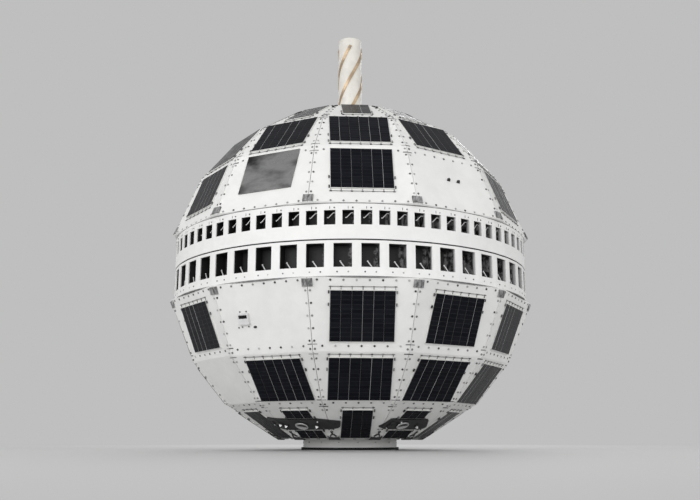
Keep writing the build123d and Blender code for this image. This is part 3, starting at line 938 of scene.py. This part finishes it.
def addSensors():
    # The lug is a round button made longer across
    place = sensorPlaces(sensorWindow["places"], sensorWindow["lift"])
    addPiece("sensor_windows", stamped(slabOf(sensorWindow), place), "dark_glass")
    addScrews("sensor_screws", sensors["screw"], sensorPlaces(sensors["screws"]), (0, 0.5))
    lug = scaled(buttonOf(sensorLug), *sensorLug["size"], 1)
    addPiece("sensor_lugs", stamped(lug, sensorPlaces(sensorLug["places"])), "rubber_black")


# Detector plates: outlines of (side, slope) on their facets, where a side of 99 reaches past the seam;
# places are (facet, side, slope) and a turn in degrees where there is one
detectors = {
    "lift": 4.0, "sunk": 0.5,
    "plates": [
        (11, [(-99, 61), (-38, 62.5), (31, 62.5), (99, 68.5), (99, 101), (32, 102.5), (-35, 103.5),
              (-99, 101)]),
        (0, [(-99, 68.5), (-58, 70), (-35.7, 73), (-35.7, 92), (-40, 96.7), (-47, 99.2), (-99, 101)]),
        (10, [(35.7, 55), (99, 61), (99, 101), (47.5, 99.3), (35.7, 93)]),
        (1, [(-51.7, 64), (-44, 62.5), (44, 62.5), (51.7, 64), (99, 84), (99, 97), (46, 101), (-46, 101),
             (-99, 97), (-99, 84)]),
        (0, [(99, 84), (99, 97), (50, 92.3)]),
        (2, [(-99, 84), (-50, 92.3), (-99, 97)]),
    ],
    "windows": [(11, -7.3, 85.1, 14), (1, -10.8, 82.9, -14)], "oval": (1.0, 0.8, 1.0), "windowSides": 40,
    "boss": [(14.8, -0.5), (14.8, 2.0), (14.4, 2.4)], "rim": (14.5, 0.9),
    "glass": [(13.9, -0.2), (13.9, 0.2), (13.344, 0.4)], "screw": 1.4,
    "screws": [(-24, 66), (-2, 66), (20, 66), (-24, 99.5), (-2, 99.5), (20, 99.5), (42, 98)],
}
tipPlaces = [(11, 30.2, 87), (11, -46.7, 84), (11, -59.2, 79.5), (1, 31, 86.5)]
detectorTrim = {
    "holes": {"look": "slot_black", "sides": 16, "steps": [(3.4, -0.1), (3.4, 0.12)],
              "places": [(11, -48.5, 93), (11, 47, 93), (1, -30.5, 73.9), (0, -47, 80)]},
    "posts": {"look": "slot_black", "sides": 20, "steps": [(5.2, -0.2), (5.2, 1.8), (4.4, 2.6)],
              "places": tipPlaces + [(1, -45.7, 88.6), (1, -42.4, 77.2), (10, 43, 73), (10, 43, 89)]},
    # Pale tips on the dark posts are painted highlights
    "painted_highlights": {"look": "pale_metal_and_highlight", "sides": 3, "steps": [(4.3, 2.4), (3.8, 3.6), (1.2, 7.0)],
             "places": tipPlaces},
    "studs": {"look": "pale_metal_and_highlight", "sides": 14, "steps": [(1.7, -0.2), (1.7, 1.6), (1.19, 2.1)],
              "places": [(1, -20, 72.4), (1, -47, 95), (10, 37.5, 80), (11, 38, 71.5)]},
}


def bentPlates():
    # One plate per facet, its sides cut off where the faces at that height meet the neighbour's; no wall
    # stands at a cut and the points there are merged, so that a bent plate is one closed shell
    row = rows["lower_end"]
    shapes = []
    for facet, outline in detectors["plates"]:
        side, slope = np.array(outline, float).T
        cut = np.abs(side) > halfWidth(row, slope)
        rings = []
        for lift in (-detectors["sunk"], detectors["lift"]):
            reach = halfWidth(row, slope) - lift * row["out"][1] * math.tan(facetStep / 2)
            rings.append(np.column_stack([np.where(cut, np.sign(side) * reach, side), slope,
                                          np.full(len(side), lift)]))
        points, quads, tris = stack(rings)
        shapes.append(stamped((points, quads[~(cut & np.roll(cut, -1))], tris), onFacets(row, facet, 0, 0)))
    points, quads, tris = joined(shapes)
    points, index = np.unique(np.round(points, 3), axis=0, return_inverse=True)
    index = index.ravel()
    return points, index[quads], index[tris]


def detectorPlaces(table, lift):
    # Places on the lower end row
    facet, side, slope, turn = np.array([(*place, 0)[:4] for place in table], float).T
    return onFacets(rows["lower_end"], facet, side, slope, lift, np.radians(turn))


def addDetectors():
    # Plates, then the oval windows with boss, rim and glass, then the small parts, whose pale tips are
    # painted highlights
    d = detectors
    addPiece("detector_plates_bent", bentPlates(), "detector_grey", ["detector_plates"])
    boss, glass = [scaled(button(d[part], d["windowSides"]), *d["oval"]) for part in ("boss", "glass")]
    rim = scaled(bead(*d["rim"], d["windowSides"]), *d["oval"])
    addPiece("detector_bosses", stamped(boss, detectorPlaces(d["windows"], d["lift"])), "detector_grey",
             ["detector_knobs"])
    place = detectorPlaces(d["windows"], d["lift"] + d["boss"][-1][1])
    addPiece("detector_rims", stamped(rim, place), "rim_metal", smooth=True)
    seat = glass[0][:, :2] / [2 * d["glass"][0][0] * share for share in d["oval"][:2]] + 0.5
    addPiece("detector_glass", stamped(glass, place), "window_painted_light", seat=np.tile(seat, (len(place[0]), 1)))
    for name, part in detectorTrim.items():
        place = detectorPlaces(part["places"], d["lift"])
        addPiece("detector_" + name, stamped(buttonOf(part), place), part["look"])
    screws = [(facet, *place) for place in d["screws"] for facet in detectorFacets]
    addScrews("detector_screws", d["screw"], detectorPlaces(screws, d["lift"]), (0, 0.5))


# Cleats on the seams of the end rows: a pale plate on each side, a dark stem, two dark feet that spread out
cleats = {"plate": {"look": "band_coat", "size": (13.4, 12.5), "steps": [(0, -0.1), (0, 0.5), (0.3, 0.8)],
                    "slope": 132.3, "away": 6.7, "turn": 0},
          "stem": {"look": "bracket_dark", "size": (1.5, 13), "steps": [(0, -0.1), (0, 2.1), (0.3, 2.4)],
                   "slope": 120.5, "away": 0.75, "turn": 0},
          "foot": {"look": "bracket_dark", "size": (2.9, 9.5), "steps": [(0, 0.7), (0, 2.7), (0.3, 3.0)],
                   "slope": 129, "away": 4.7, "turn": 38}}  # turn in degrees


def addCleats():
    # Every part lies on both sides of every seam, and turns the other way on the other side
    for half in halves:
        row = rows[half + "_end"]
        for name, part in cleats.items():
            facet, side, slope, sign = besideSeams(row, [part["slope"]], part["away"])
            place = onFacets(row, facet, side, slope, 0.0, sign * math.radians(part["turn"]))
            addPiece("cleat_" + name + "_" + half, stamped(slabOf(part), place), part["look"])


# Small dark three-cornered lugs on the blank facet of the upper waist row, slopes from its pole side
notches = {"facet": 1, "places": [(-7.5, -72), (20, -72)], "sides": 3,
           "steps": [(5.4, -0.1), (4.86, 1.5), (1.89, 6.5), (1.08, 7.0)]}


def addNotches():
    # Three-sided buttons, a quarter turn round so that one corner points to the pole
    row = rows["upper_waist"]
    side, slope = np.array(notches["places"], float).T
    place = onFacets(row, notches["facet"], side, fromEdge(row, slope), 0.0, math.pi / 2)
    addPiece("notches", stamped(buttonOf(notches), place), "slot_black")


# Bottom and top ends: spots and bent brackets on the end ring, screws on pan, deck, barrel and throat floor
spots = {"across": (-27, 0, 27), "size": (3.8, 3.6), "reach": 0.962, "sides": 16,
         "steps": [(1.0, -0.1), (1.0, 0.9), (0.8, 1.3)]}  # reach as a share of the end ring's
bracketLevel = {"size": (25, 10.5), "steps": [(0, -0.5), (0, 2.6), (0.4, 3.0)], "radius": 173.8}
bracketFlap = {"size": (25, 8.4), "steps": [(0, -3.0), (0, 1.4), (0.4, 1.8)], "slope": 142}
panScrews = {"radius": 2.0, "rings": ((24, 150), (12, 121)), "sunk": 3}  # count and radius of each ring
deckScrews = {"radius": 2.3, "pitch": 24, "edge": 6}
barrelScrews = {"radius": 1.8, "count": 16, "height": 12, "shift": 0.1}  # shift in radians
floorScrews = {"radius": 3.0, "count": 6, "reach": 0.86}  # reach as a share of the floor's radius


def addEnds():
    # The ring's trim first, then the screws of each part from its own box
    ringLow, ringHigh = box("end_ring")
    facet, side = grid(allFacets, spots["across"])
    place = onRound(facet * facetStep, ringHigh[0] * spots["reach"], ringLow[2], "down", side)
    addPiece("end_spots", stamped(scaled(buttonOf(spots), *spots["size"], 1), place), "slot_black")
    place = onRound((allFacets + 0.5) * facetStep, bracketLevel["radius"], ringLow[2], "down")
    bent = joined([stamped(slabOf(bracketLevel), place),
                   stamped(slabOf(bracketFlap), onSeams(rows["lower_end"], bracketFlap["slope"]))])
    addPiece("bent_brackets", bent, "bracket_dark", ["end_brackets"])
    height = box("end_pan")[1][2] - panScrews["sunk"]
    places = merged([onRound(around(count), radius, height, "down") for count, radius in panScrews["rings"]])
    addScrews("pan_screws", panScrews["radius"], places)
    deckHigh = box("top_deck")[1]
    reach = deckHigh[:2].min()
    count = int(2 * reach * math.tan(facetStep / 2) / deckScrews["pitch"])
    facet, side = grid(allFacets, inLine(count, deckScrews["pitch"]))
    place = onRound(facet * facetStep, reach * seamCosine - deckScrews["edge"], deckHigh[2], "up", side)
    addScrews("deck_screws", deckScrews["radius"], place)
    low, high = box("adapter_barrel")
    place = onRound(around(barrelScrews["count"], barrelScrews["shift"]), high[0],
                    low[2] + barrelScrews["height"], "out")
    addScrews("barrel_screws", barrelScrews["radius"], place)
    low, high = box("throat_floor")
    place = onRound(around(floorScrews["count"]), high[0] * floorScrews["reach"], low[2], "down")
    addScrews("floor_screws", floorScrews["radius"], place)


# Command antenna: bolts on its flange, feed screws at the ends of its four tapes, a bead at the tube's foot
bolts = {"count": 8, "inset": 8, "flange": 4, "sides": 6, "steps": [(4, -0.2), (4, 2.6), (3.4, 3.2)]}
feedScrews = {"count": 4, "radius": 2.0, "sunk": 0.1, "turn": 0.06, "end": 8}  # turn in radians
tubeBead = {"away": 1.2, "thickness": 1.6, "height": 1.5, "sides": 48}


def addAntenna():
    # All places are measured from the corners of the antenna's own nodes and of the deck
    deck, base, tube = [box(name)[1] for name in ("top_deck", "antenna_base", "antenna_tube")]
    place = onRound(around(bolts["count"]), base[0] - bolts["inset"], deck[2] + bolts["flange"], "up")
    addToned("flange_bolts", buttonOf(bolts), place, "screw_head", (0.6, 1.0))
    d = feedScrews
    low, high = box("antenna_helix")
    ends = ((d["turn"], low[2] + d["end"]), (math.pi - d["turn"], high[2] - d["end"]))
    places = merged([onRound(around(d["count"], math.pi / 2) + turn, high[0] - d["sunk"], height, "out")
                     for turn, height in ends])
    addScrews("feed_screws", d["radius"], places, (0.5, 1.0))
    ring = bead(tube[0] + tubeBead["away"], tubeBead["thickness"], tubeBead["sides"])
    place = onRound(0.0, 0.0, base[2] + tubeBead["height"], "up")
    addPiece("tube_bead", stamped(ring, place), "fibreglass", smooth=True)


addJoints()
addRings()
addPads()
addSkinScrews()
addSeamBars()
for name in rowNames:
    addCombs(name)
addBandTrim()
for name in halves:
    addProbes(name)
addSensors()
addDetectors()
addCleats()
addNotches()
addEnds()
addAntenna()
print("details done")

# Camera at floor level, at the photograph's azimuth in degrees; lengths of the stage are in metres, those of
# the lens and its sensor in mm
view = {"azimuth": -3.6, "distance": 2.125, "height": 0.03, "aim": (0.0, 0.0, 0.5), "lens": 43.5,
        "sensor": 36.0, "nearest": 0.01}


def aimed(thing, place, aim):
    # Moved to its place and turned to look at its aim
    thing.location = place
    thing.rotation_mode = "QUATERNION"
    thing.rotation_quaternion = (Vector(aim) - Vector(place)).to_track_quat("-Z", "Y")


def makeCamera():
    # Its place is the distance times (sine, minus cosine) of the azimuth, at its height
    camera = placed("camera", bpy.data.cameras.new("camera"))
    camera.data.lens = view["lens"]
    camera.data.sensor_width = view["sensor"]
    camera.data.clip_start = view["nearest"]
    a = math.radians(view["azimuth"])
    aimed(camera, (view["distance"] * math.sin(a), -view["distance"] * math.cos(a), view["height"]),
          view["aim"])
    bpy.context.scene.camera = camera


# Floor, world and lamps; fade gives the distances over which the floor becomes the backdrop
backdrop = 0.52
floorDisc = {"shade": 0.53, "rough": 0.75, "hole": 0.112, "reach": 30.0, "sides": 64, "height": -0.0005,
             "fade": (0.75, 1.9)}
worldLight = {"shade": 0.9, "strength": 0.7}
lamps = {
    "key": {"place": (-2.6, -2.6, 1.8), "aim": (0, 0, 0.5), "size": (3.0, 2.8), "power": 48},
    "fill": {"place": (2.8, -2.2, 1.2), "aim": (0, 0, 0.45), "size": (3.0, 2.2), "power": 29},
    "low": {"place": (-0.8, -3.0, 0.7), "aim": (0, 0, 0.3), "size": (3.6, 1.2), "power": 25},
    "back": {"place": (0.5, 3.0, 1.9), "aim": (0, 0, 0.6), "size": (2.4, 1.6), "power": 40},
}


def backdropRays(tree):
    # 1 for the rays that show the backdrop: the camera's own, and those by way of metal or glass
    rays = node(tree, "ShaderNodeLightPath").outputs
    mirrored = maths(tree, "MAXIMUM", rays["Is Camera Ray"], rays["Is Glossy Ray"])
    return maths(tree, "MAXIMUM", mirrored, rays["Is Transmission Ray"])


def mixedShader(tree, share, first, second):
    # From the first node's shader at 0 to the second's at 1
    values = {0: share, 1: first.outputs[0], 2: second.outputs[0]}
    return node(tree, "ShaderNodeMixShader", values)


def makeFloor():
    # Pale level floor: lit round the object, to the camera it fades into the backdrop further out, and it
    # is see-through from below; a hole hidden under the adapter lets the world's light into the bore
    d = floorDisc
    angle = around(d["sides"])
    circle = np.column_stack([np.cos(angle), np.sin(angle), np.zeros(d["sides"])])
    near = np.arange(d["sides"])
    after = np.roll(near, -1)
    quads = np.stack([near, near + d["sides"], after + d["sides"], after], -1)
    mesh = bpy.data.meshes.new("floor")
    mesh.from_pydata(np.concatenate([circle * d["hole"], circle * d["reach"]]).tolist(), [], quads.tolist())
    material, tree, shader = newMaterial("floor")
    feed(tree, shader, {"Base Color": colour(d["shade"]), "Roughness": d["rough"]})
    far = ramp(tree, vectorMaths(tree, "LENGTH", objectPoint(tree)), *d["fade"], smooth=True)
    plain = node(tree, "ShaderNodeEmission", {"Color": colour(backdrop), "Strength": 1.0})
    blend = mixedShader(tree, maths(tree, "MULTIPLY", far, backdropRays(tree)), shader, plain)
    back = node(tree, "ShaderNodeNewGeometry").outputs["Backfacing"]
    both = mixedShader(tree, back, blend, node(tree, "ShaderNodeBsdfTransparent"))
    feed(tree, tree.nodes["Material Output"], {"Surface": both.outputs[0]})
    mesh.materials.append(material)
    floor = placed("floor", mesh)
    floor.location.z = d["height"]


def makeWorld():
    # Even studio light; the camera sees the plain pale backdrop
    world = bpy.data.worlds.new("studio")
    bpy.context.scene.world = world
    world.use_nodes = True
    tree = world.node_tree
    light = tree.nodes["Background"]
    feed(tree, light, {"Color": colour(worldLight["shade"]), "Strength": worldLight["strength"]})
    seen = node(tree, "ShaderNodeBackground", {"Color": colour(backdrop), "Strength": 1.0})
    both = mixedShader(tree, backdropRays(tree), light, seen)
    feed(tree, tree.nodes["World Output"], {"Surface": both.outputs[0]})


def addLamp(name):
    # Soft rectangular lamp that the camera doesn't see
    d = lamps[name]
    lamp = placed(name, bpy.data.lights.new(name, "AREA"))
    lamp.data.shape = "RECTANGLE"
    lamp.data.size, lamp.data.size_y = d["size"]
    lamp.data.energy = d["power"]
    aimed(lamp, d["place"], d["aim"])
    lamp.visible_camera = False


makeCamera()
makeFloor()
makeWorld()
for name in lamps:
    addLamp(name)
bpy.context.scene.view_settings.view_transform = "Standard"
print("stage done")
